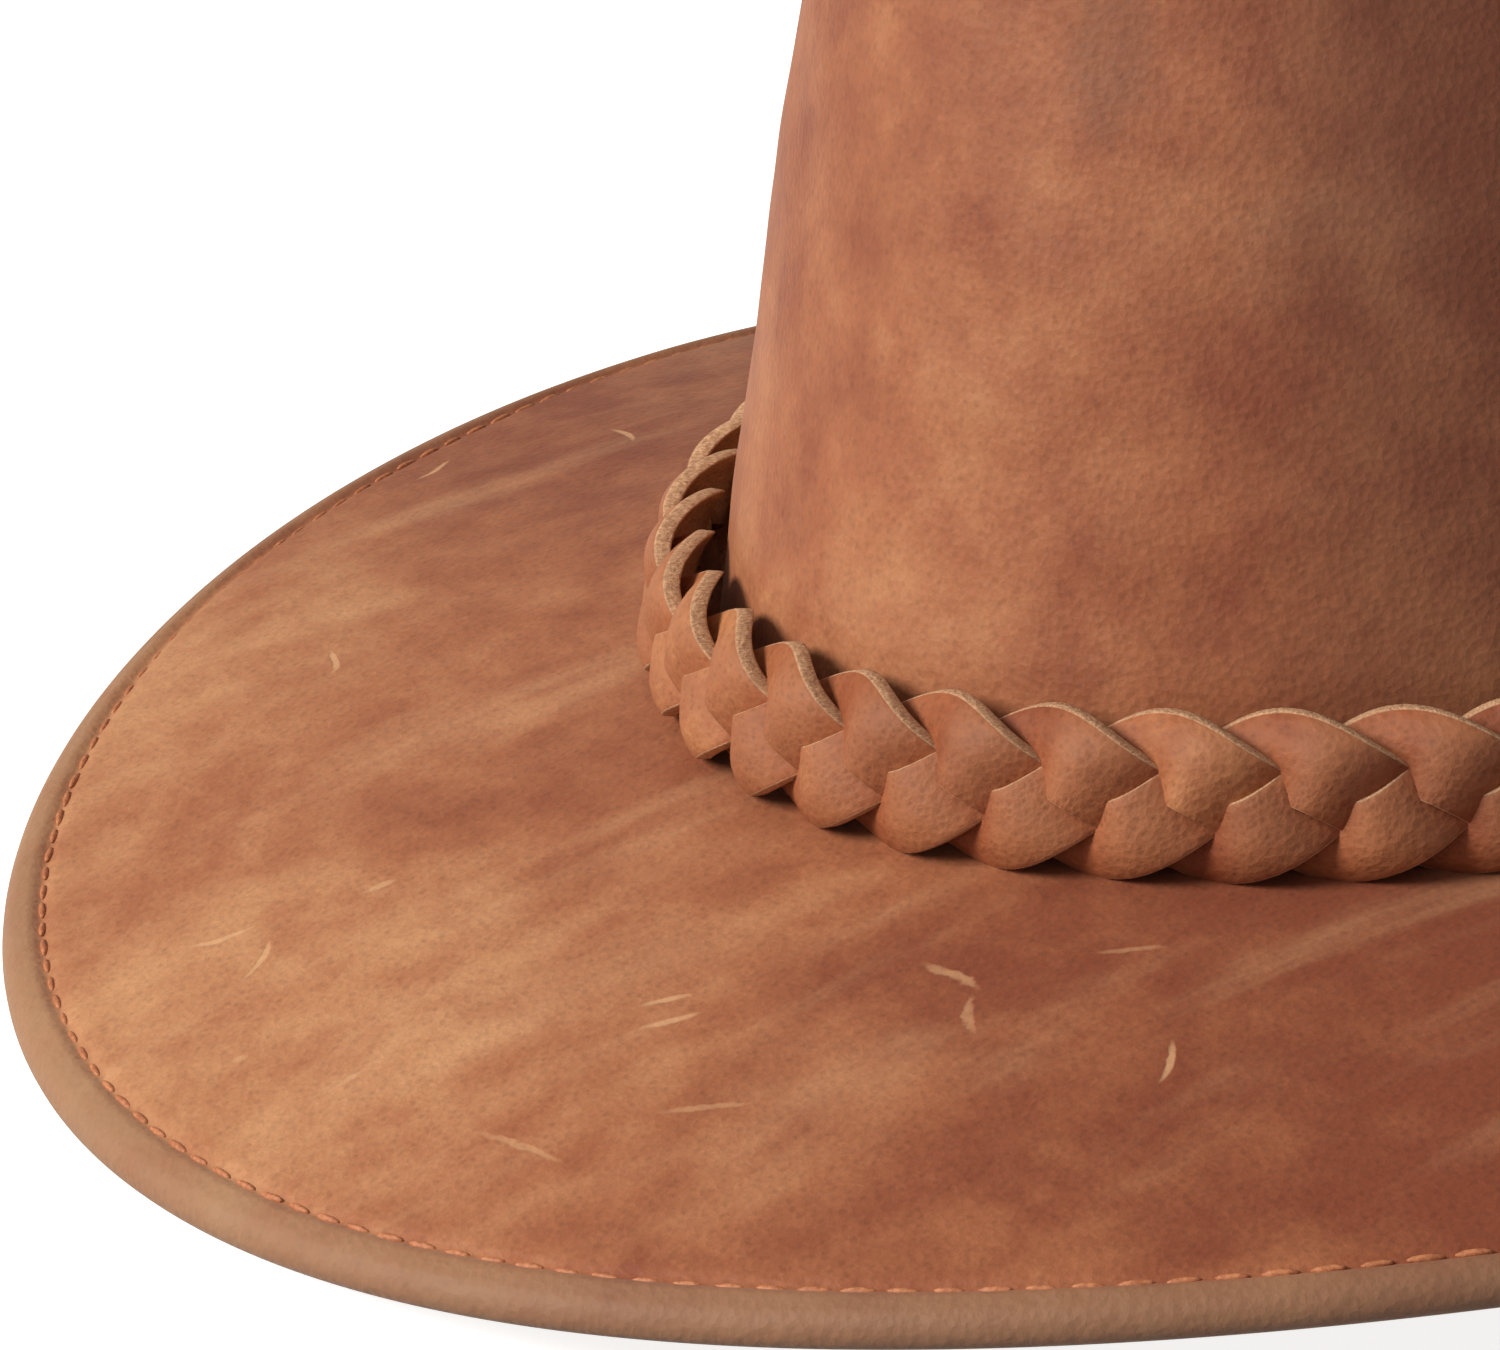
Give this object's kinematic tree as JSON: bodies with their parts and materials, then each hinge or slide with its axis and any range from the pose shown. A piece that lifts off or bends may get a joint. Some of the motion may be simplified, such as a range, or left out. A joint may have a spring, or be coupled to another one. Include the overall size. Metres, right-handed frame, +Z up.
{
  "type": "cowboy hat",
  "caption": "Leather western hat with a creased crown, a wide hemmed brim with an edge wire, and a braided leather band that lifts off.",
  "frame": {"origin": "under the middle of the hat, on the surface that the front and back of the brim stand on", "axes": "+Z up through the crown, front of the hat at -Y, +X to the wearer's left"},
  "size_m": [0.3346, 0.3882, 0.1598],
  "materials": {
    "hat_leather": "oiled pull-up cowhide, matt with a slight wax sheen, mottled tan to red-brown",
    "braid_leather": "flat cut strands, smooth waxed face, pale raw edges",
    "lining_leather": "smooth satin sweatband leather",
    "thread": "waxed twisted polyester, orange tan",
    "reed": "bound plastic reed",
    "wire": "plain spring steel"
  },
  "bodies": {
    "hat": {"crown_side": "hat_leather", "crown_tip": "hat_leather", "crown_seam_tape": "lining_leather", "tip_seam_stitches": "thread", "back_seam_stitches": "thread", "sweatband": "lining_leather", "sweatband_reed": "reed", "sweatband_join_tab": "lining_leather", "headline_stitches": "thread", "brim_top": "hat_leather", "brim_under": "hat_leather", "brim_wire": "wire", "rim_stitches": "thread"},
    "hatband": {"band_keeper": "braid_leather", "braid_strand_1": "braid_leather", "braid_strand_2": "braid_leather", "braid_strand_3": "braid_leather"}
  },
  "joints": [
    {"name": "hatband_lift", "type": "slide", "parent": "hat", "child": "hatband", "axis": [0, 0, 1], "range_m": [0, 0.14]}
  ]
}
